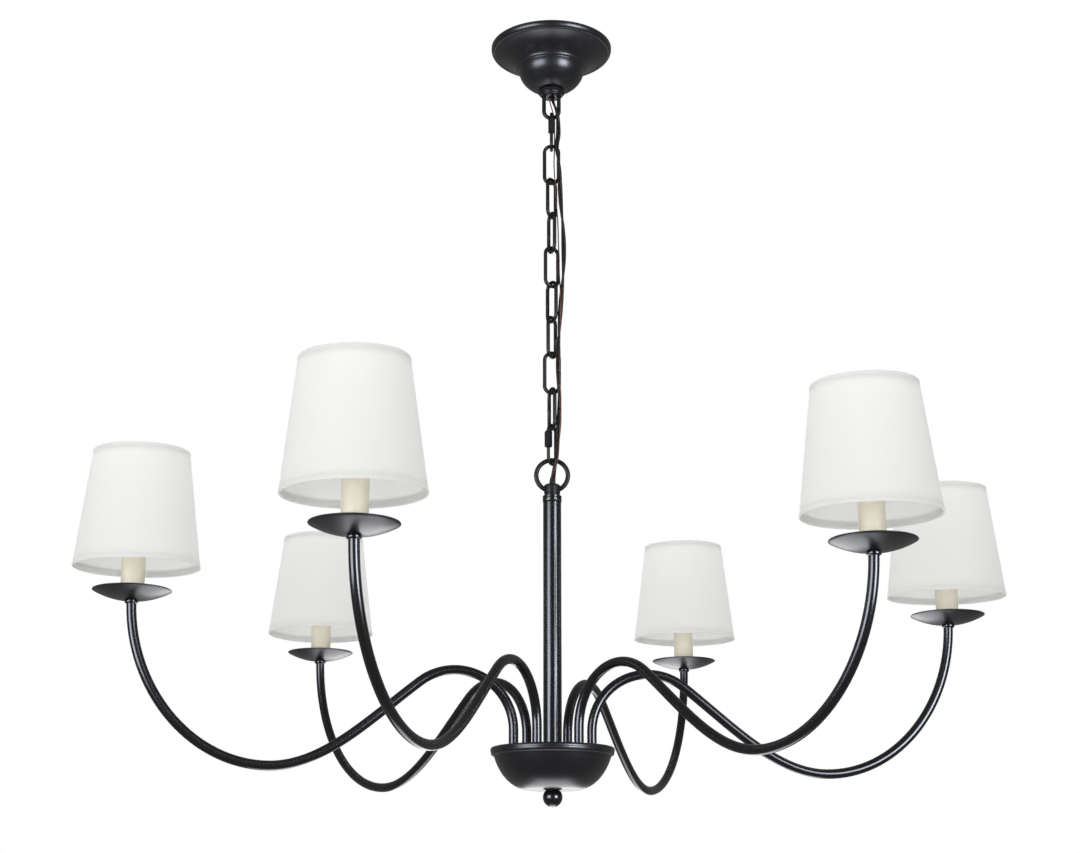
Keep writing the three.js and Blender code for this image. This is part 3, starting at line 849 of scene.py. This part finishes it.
bowl_bottom, bowl_top = heights("hub_bowl")
BOWL_RADIUS = 59.3
bowl_line = [(57.2, bowl_top), (57.6, bowl_top - 0.05)]
bowl_line += span(bowl_line[-1], (59.2, bowl_top - 0.4), (BOWL_RADIUS, bowl_top - 2.4), count=8)
bowl_line += [
    (BOWL_RADIUS, bowl_top - 3.2), (58.9, bowl_top - 3.5), (58.95, bowl_top - 3.9),
    (58.6, bowl_top - 6.5), (58.0, bowl_top - 7.2), (56.9, bowl_top - 7.5),
    (56.2, bowl_top - 7.9), (55.8, bowl_top - 8.5),
]
bowl_line += span(
    bowl_line[-1], (51.7, bowl_top - 22.3), (40.8, bowl_bottom), (20, bowl_bottom), count=26
)
bowl_line += [(12, bowl_bottom), (7, bowl_bottom), (3.6, bowl_bottom)]
bowl = raise_rings("hub_bowl_shell", bowl_line, 128)
wall_inward(bowl, SPUN_WALL)
finish_piece(bowl, "hub_bowl", spun_black, "black_metal", "hub_bowl")

ball_bottom, ball_top = heights("finial")
BALL_RADIUS = 9.3
BALL_NECK = 7.1
BALL_TIP_ANGLE = 0.09
BALL_STEPS = 28
ball_centre = ball_bottom + BALL_RADIUS
ball_line = [(3.3, ball_top), (6.4, ball_top), (6.9, ball_top - 0.3)]
neck_angle = math.asin(BALL_NECK / BALL_RADIUS)
for step in range(BALL_STEPS + 1):
    angle = neck_angle + (math.pi - BALL_TIP_ANGLE - neck_angle) * step / BALL_STEPS
    ball_line.append(
        (BALL_RADIUS * math.sin(angle), ball_centre + BALL_RADIUS * math.cos(angle))
    )
ball_line.append((0.5, ball_centre - BALL_RADIUS + 0.35))
ball = raise_rings("finial_ball", ball_line, 64)
close_up(ball, axis_ends=True)
finish_piece(ball, "finial", drawn_black, "black_metal", "finial")

# ---- Arms ----
# Each is a steel tube bent in one plane: up out of the plate, over a crook, down a long slope
# and up under its candle. A small ferrule at the tip carries the pan.

ARM_RADIUS = 4.6
ARM_REACH = 399.5
ARM_HEADINGS = [7.6, 67, 130.8, 192.2, 247, 310.2]
ARM_FOOT = 38
ARM_RISE = 131.1
CROOK_RADIUS = 56
CROOK_RISE = 15.9
CROOK_STEPS = 26
SLOPE_FALL = math.radians(38)
SLOPE_REACH = 60
TROUGH_REACH = 268
TROUGH_DROP = 21.4

arm_tip = plate_top + ARM_RISE
crook_x = ARM_FOOT + CROOK_RADIUS
crook_z = plate_top + CROOK_RISE
arm_line = [
    (ARM_FOOT, plate_top - 9.6), (ARM_FOOT, plate_top), (ARM_FOOT, plate_top + 8),
    (ARM_FOOT, crook_z),
]
for step in range(1, CROOK_STEPS + 1):
    angle = math.pi - (math.pi / 2 + SLOPE_FALL) * step / CROOK_STEPS
    along, up = CROOK_RADIUS * math.cos(angle), CROOK_RADIUS * math.sin(angle)
    arm_line.append((crook_x + along, crook_z + up))
slope_x, slope_z = arm_line[-1]
trough = plate_top - TROUGH_DROP
arm_line += span(
    (slope_x, slope_z),
    (slope_x + SLOPE_REACH * math.cos(SLOPE_FALL), slope_z - SLOPE_REACH * math.sin(SLOPE_FALL)),
    (TROUGH_REACH - 50, trough), (TROUGH_REACH, trough), count=26,
)
arm_line += span(
    (TROUGH_REACH, trough), (339, trough), (ARM_REACH, arm_tip - 84), (ARM_REACH, arm_tip),
    count=34,
)


def bend_tube(name, line, radius, around=24):
    """Extrudes a circle along a line in the XZ plane, turning it at each step."""
    (x, z), *rest = line
    bpy.ops.object.select_all(action="DESELECT")
    bpy.ops.mesh.primitive_circle_add(
        vertices=around, radius=radius * mm, fill_type="NGON", location=(x * mm, 0, z * mm)
    )
    piece = bpy.context.object
    piece.name = name
    bpy.ops.object.transform_apply()
    bpy.ops.object.mode_set(mode="EDIT")
    bpy.ops.mesh.select_all(action="SELECT")
    facing = math.pi / 2
    for index, (next_x, next_z) in enumerate(rest, 1):
        after_x, after_z = rest[min(index, len(rest) - 1)]
        move = ((next_x - x) * mm, 0, (next_z - z) * mm)
        bpy.ops.mesh.extrude_region_move(TRANSFORM_OT_translate={"value": move})
        heading = math.atan2(after_z - z, after_x - x)
        centre = (next_x * mm, 0, next_z * mm)
        bpy.ops.transform.rotate(
            value=heading - facing, orient_axis="Y", center_override=centre
        )
        facing = heading
        x, z = next_x, next_z
    bpy.ops.mesh.select_all(action="SELECT")
    bpy.ops.mesh.normals_make_consistent(inside=False)
    bpy.ops.object.mode_set(mode="OBJECT")
    return piece


def copy_around(model, name, heading):
    """A copy with its own mesh, turned to an arm's heading."""
    copy = bpy.data.objects.new(name, model.data.copy())
    bpy.context.collection.objects.link(copy)
    copy.data.transform(Matrix.Rotation(math.radians(heading), 4, "Z"))
    return copy


arm_model = bend_tube("arm_model", arm_line, ARM_RADIUS)
pan_foot = arm_tip - 4.2
ferrule_line = [
    (ARM_RADIUS - 0.2, pan_foot - 3.0), (4.9, pan_foot - 2.9), (5.4, pan_foot - 2.5),
    (6.0, pan_foot - 2.2), (6.2, pan_foot - 1.7), (6.2, pan_foot - 0.8), (5.9, pan_foot - 0.4),
    (ARM_RADIUS - 0.2, pan_foot - 0.3), (ARM_RADIUS - 0.2, pan_foot - 3.0),
]
ferrule_model = raise_rings("ferrule_model", ferrule_line, 48, ARM_REACH)
close_up(ferrule_model)

for number, heading in enumerate(ARM_HEADINGS, 1):
    arm = copy_around(arm_model, f"arm_{number}_tube", heading)
    finish_piece(arm, "fixture", drawn_black, "black_metal", f"arm_{number}")
    ferrule = copy_around(ferrule_model, f"arm_{number}_ferrule", heading)
    finish_piece(ferrule, "fixture", drawn_black, "black_metal", f"arm_{number}")
for model in (arm_model, ferrule_model):
    bpy.data.objects.remove(model)

# ---- Drip pans ----
# Shallow spun steel dishes, coated black, gripped between the arm's ferrule and the candle.

PAN_RADIUS = 36.5
PAN_DEPTH = 9.5
PAN_HOLE = 5.0
PAN_WALL = 0.9
PAN_STEPS = 14
pan_sphere = (PAN_RADIUS**2 + PAN_DEPTH**2) / (2 * PAN_DEPTH)
pan_line = []
for step in range(PAN_STEPS + 1):
    radius = PAN_RADIUS + (PAN_HOLE - PAN_RADIUS) * step / PAN_STEPS
    rise = pan_sphere - math.sqrt(pan_sphere**2 - radius**2)
    pan_line.append((radius, pan_foot + rise))
pan_model = raise_rings("pan_model", pan_line, 96, ARM_REACH)
wall_inward(pan_model, PAN_WALL)
apply_modifier(pan_model, "BEVEL", width=0.25 * mm, segments=2, limit_method="ANGLE")
for number, heading in enumerate(ARM_HEADINGS, 1):
    pan = copy_around(pan_model, f"drip_pan_{number}_dish", heading)
    finish_piece(pan, "fixture", spun_black, "black_metal", f"drip_pan_{number}", sharp=50)
bpy.data.objects.remove(pan_model)

# ---- Candle sleeves ----
# Ivory moulded tubes that slip over the lamp sockets, with a slightly yellowed, waxy surface.

SLEEVE_RADIUS = 11
SLEEVE_BORE = 9.9
sleeve_bottom, sleeve_top = heights("candle_sleeve_1")
sleeve_line = [
    (SLEEVE_BORE, sleeve_bottom), (10.7, sleeve_bottom), (SLEEVE_RADIUS, sleeve_bottom + 0.3),
    (SLEEVE_RADIUS, sleeve_bottom + 20), (SLEEVE_RADIUS, sleeve_top - 0.5),
    (10.5, sleeve_top), (SLEEVE_BORE + 0.2, sleeve_top), (SLEEVE_BORE, sleeve_top - 0.3),
    (SLEEVE_BORE, sleeve_bottom),
]
sleeve_model = raise_rings("sleeve_model", sleeve_line, 64, ARM_REACH)
close_up(sleeve_model)

ivory_sleeve = Finish("ivory_sleeve", Roughness=0.5)
ivory_place = ivory_sleeve.place()
ivory_cloud = ivory_sleeve.noise(ivory_place, 70, 3)
ivory_sleeve.set(
    "Base Color",
    ivory_sleeve.blend(ivory_cloud, (0.97, 0.935, 0.80, 1), (0.99, 0.96, 0.85, 1)),
)
ivory_sleeve.bump(ivory_sleeve.noise(ivory_place, 500), 0.03 * mm)
ivory_sleeve.glow_through((0.98, 0.94, 0.82, 1), 0.35)
for number, heading in enumerate(ARM_HEADINGS, 1):
    sleeve = copy_around(sleeve_model, f"candle_sleeve_{number}_tube", heading)
    finish_piece(sleeve, "fixture", ivory_sleeve, "ivory_sleeve", f"candle_sleeve_{number}")
bpy.data.objects.remove(sleeve_model)

# ---- Bulbs ----
# Frosted candelabra bulbs: a tapered blown glass on a threaded brass base.

bulb_base, bulb_top = heights("bulb_1")
glass_line = [(6.2, sleeve_top - 4), (8.0, sleeve_top - 1.0), (8.5, sleeve_top)]
glass_line += span(
    glass_line[-1], (17, sleeve_top + 11.4), (20.4, sleeve_top + 34.1), (7.1, sleeve_top + 58.2),
    count=20,
)
glass_line += span(glass_line[-1], (2.4, bulb_top - 1.6), (0.3, bulb_top), count=8)
glass_model = raise_rings("glass_model", glass_line, 48, ARM_REACH)
close_up(glass_model, axis_ends=True)
THREAD_PITCH = 1.8
THREAD_DEPTH = 0.28
THREAD_RADIUS = 5.7
THREAD_TURNS = 9
thread_line = [(1.5, bulb_base), (3.4, bulb_base + 0.6), (4.6, bulb_base + 2.2)]
for quarter in range(1, 4 * THREAD_TURNS + 1):
    swell = THREAD_DEPTH * math.sin(math.pi * quarter / 2)
    thread_line.append((THREAD_RADIUS + swell, bulb_base + 2.6 + THREAD_PITCH * quarter / 4))
thread_line.append((6.1, sleeve_top - 3.9))
thread_model = raise_rings("thread_model", thread_line, 32, ARM_REACH)
close_up(thread_model, axis_ends=True)

frosted_glass = Finish("frosted_glass", Roughness=0.35, Subsurface_Weight=0.3)
glass_cloud = frosted_glass.noise(frosted_glass.place(), 60)
frosted_glass.set(
    "Base Color",
    frosted_glass.blend(glass_cloud, (0.86, 0.86, 0.84, 1), (0.92, 0.92, 0.90, 1)),
)
frosted_glass.bump(frosted_glass.noise(frosted_glass.place(), 1500), 0.01 * mm)
for number, heading in enumerate(ARM_HEADINGS, 1):
    glass = copy_around(glass_model, f"bulb_{number}_glass", heading)
    finish_piece(glass, f"bulb_{number}", frosted_glass, "frosted_glass", f"bulb_{number}")
    thread = copy_around(thread_model, f"bulb_{number}_base", heading)
    finish_piece(thread, f"bulb_{number}", raw_brass, "raw_brass", f"bulb_{number}")
for model in (glass_model, thread_model):
    bpy.data.objects.remove(model)

# ---- Shades ----
# White linen laminated to a white liner and rolled into a tapered drum. Folded hems hide the
# wire rings at both ends, and a wire spider inside the top clips over the bulb.

shade_bottom, shade_top = heights("shade_1")
SHADE_BOTTOM_RADIUS = 58.6
SHADE_TOP_RADIUS = 44.7
SHADE_MIDDLE_RADIUS = 52
SHADE_WALL = 0.9
SHADE_HEM = 6.5
SHADE_STEPS = 24
shade_rise = shade_top - shade_bottom
shade_taper = (SHADE_BOTTOM_RADIUS - SHADE_TOP_RADIUS) / shade_rise

# Each shade sits on its bulb as it was set by hand: a lean towards the viewer and to the right
# in degrees, then a shift to the right and up in millimetres.
SHADE_SETTING = [
    (2.3, 0, 0.7, -3.2), (1.2, 0.2, 1.8, 3.4), (-0.7, 0, -0.5, -1.2),
    (1.5, -0.3, 2.0, -0.2), (1.6, -1.1, -2.8, 1.9), (1.2, -0.5, -0.7, -1.1),
]

white_fabric = Finish("white_fabric", Roughness=0.9, Sheen_Weight=0.15, Sheen_Roughness=0.6)
weave_place = white_fabric.node("ShaderNodeUVMap", {"uv_map": "weave"})
THREADS_PER_METRE = 2600
warp = (white_fabric.part(weave_place, "X") * (THREADS_PER_METRE * math.pi)).sine()
weft = (white_fabric.part(weave_place, "Y") * (THREADS_PER_METRE * math.pi)).sine()
threads = (warp * warp).or_more(weft * weft)
slub = white_fabric.noise(weave_place, 420, 3)
white_fabric.set(
    "Base Color",
    white_fabric.blend(slub, (0.80, 0.80, 0.795, 1), (0.86, 0.86, 0.855, 1)),
)
white_fabric.bump(threads * 0.7 + slub * 0.5, 0.10 * mm)
white_fabric.glow_through((0.96, 0.96, 0.955, 1), 0.5)


def weave_map(piece):
    """Lays the cloth's own directions on a piece: round the drum, and up it, in metres."""
    layer = piece.data.uv_layers.get("weave") or piece.data.uv_layers.new(name="weave")
    for loop in piece.data.loops:
        x, y, z = piece.data.vertices[loop.vertex_index].co
        angle = math.atan2(y, x - ARM_REACH * mm)
        layer.data[loop.index].uv = (angle * SHADE_MIDDLE_RADIUS * mm, z)


drum_line = []
for step in range(SHADE_STEPS + 1):
    height = shade_bottom + shade_rise * step / SHADE_STEPS
    drum_line.append((SHADE_BOTTOM_RADIUS - shade_taper * (height - shade_bottom), height))
drum_model = raise_rings("drum_model", drum_line, 128, ARM_REACH)
wall_inward(drum_model, SHADE_WALL)
weave_map(drum_model)


def hem_line(height, direction):
    """The cloth's edge, rolled round the frame's wire with its end glued up the inside."""
    edge = SHADE_BOTTOM_RADIUS - shade_taper * (height - shade_bottom)
    lean = -shade_taper * direction
    line = [(edge + lean * 3.4 - 0.05, height + direction * 3.4)]
    for away, up in (
        (0.22, 2.7), (0.34, 1.6), (0.30, 0.6), (0.0, -0.05), (-0.6, -0.3), (-1.3, -0.1),
        (-1.75, 0.6), (-1.7, 1.5), (-1.35, 2.4), (-1.3, SHADE_HEM), (-1.0, SHADE_HEM + 0.1),
        (-0.8, SHADE_HEM - 0.3), (-0.6, 3.0),
    ):
        line.append((edge + lean * up + away, height + direction * up))
    return [*line, line[0]]


hem_models = []
for name, height, direction in (("bottom", shade_bottom, 1), ("top", shade_top, -1)):
    line = hem_line(height, direction)
    hem_model = raise_rings(f"hem_{name}_model", line, 128, ARM_REACH)
    close_up(hem_model)
    weave_map(hem_model)
    hem_models.append((name, hem_model))

CLIP_WIRE = 1.1
CLIP_SLACK = 2.5
CLIP_DROP = 34
clip_height = shade_top - CLIP_DROP
above, below = sorted(glass_line, key=lambda point: abs(point[1] - clip_height))[:2]
CLIP_RING = max(above[0], below[0]) + CLIP_WIRE + CLIP_SLACK
wire_models = []
for arm_turn in (0, 120, 240):
    start = (SHADE_TOP_RADIUS - 3, shade_top - 1.5)
    line = [start, (SHADE_TOP_RADIUS - 6, shade_top - 2.2)]
    line += span(
        line[-1], (16, shade_top - 6), (CLIP_RING + 4, clip_height + 2),
        (CLIP_RING, clip_height), count=14,
    )
    spoke = bend_tube(f"spoke_{arm_turn}", line, CLIP_WIRE, 12)
    spoke.data.transform(Matrix.Rotation(math.radians(arm_turn), 4, "Z"))
    spoke.data.transform(Matrix.Translation((ARM_REACH * mm, 0, 0)))
    wire_models.append(spoke)

steel_wire = Finish("steel_wire", Metallic=1.0, Roughness=0.3)
wire_tone = steel_wire.noise(steel_wire.place(), 200)
steel_wire.set(
    "Base Color",
    steel_wire.blend(wire_tone, (0.62, 0.61, 0.58, 1), (0.74, 0.73, 0.70, 1)),
)


def set_by_hand(piece, heading, setting):
    """Leans and shifts a shade's piece about the middle of its clip."""
    forward, sideways, right, up = setting
    turn = math.radians(heading)
    clip = Vector((math.cos(turn) * ARM_REACH, math.sin(turn) * ARM_REACH, clip_height)) * mm
    shift = Vector((right, 0, up)) * mm
    lean = Matrix.Rotation(math.radians(sideways), 4, "Y") @ Matrix.Rotation(
        math.radians(forward), 4, "X"
    )
    piece.data.transform(Matrix.Translation(clip + shift) @ lean @ Matrix.Translation(-clip))


for number, (heading, setting) in enumerate(zip(ARM_HEADINGS, SHADE_SETTING), 1):
    body = f"shade_{number}"
    drum = copy_around(drum_model, f"shade_{number}_cloth", heading)
    set_by_hand(drum, heading, setting)
    finish_piece(drum, body, white_fabric, "white_fabric", body)
    for name, hem_model in hem_models:
        hem = copy_around(hem_model, f"shade_{number}_hem_{name}", heading)
        set_by_hand(hem, heading, setting)
        finish_piece(hem, body, white_fabric, "white_fabric", body)
    for index, wire_model in enumerate(wire_models, 1):
        wire = copy_around(wire_model, f"shade_{number}_wire_{index}", heading)
        set_by_hand(wire, heading, setting)
        finish_piece(wire, body, steel_wire, "zinc_steel", body)
for model in [drum_model, *[model for _, model in hem_models], *wire_models]:
    bpy.data.objects.remove(model)
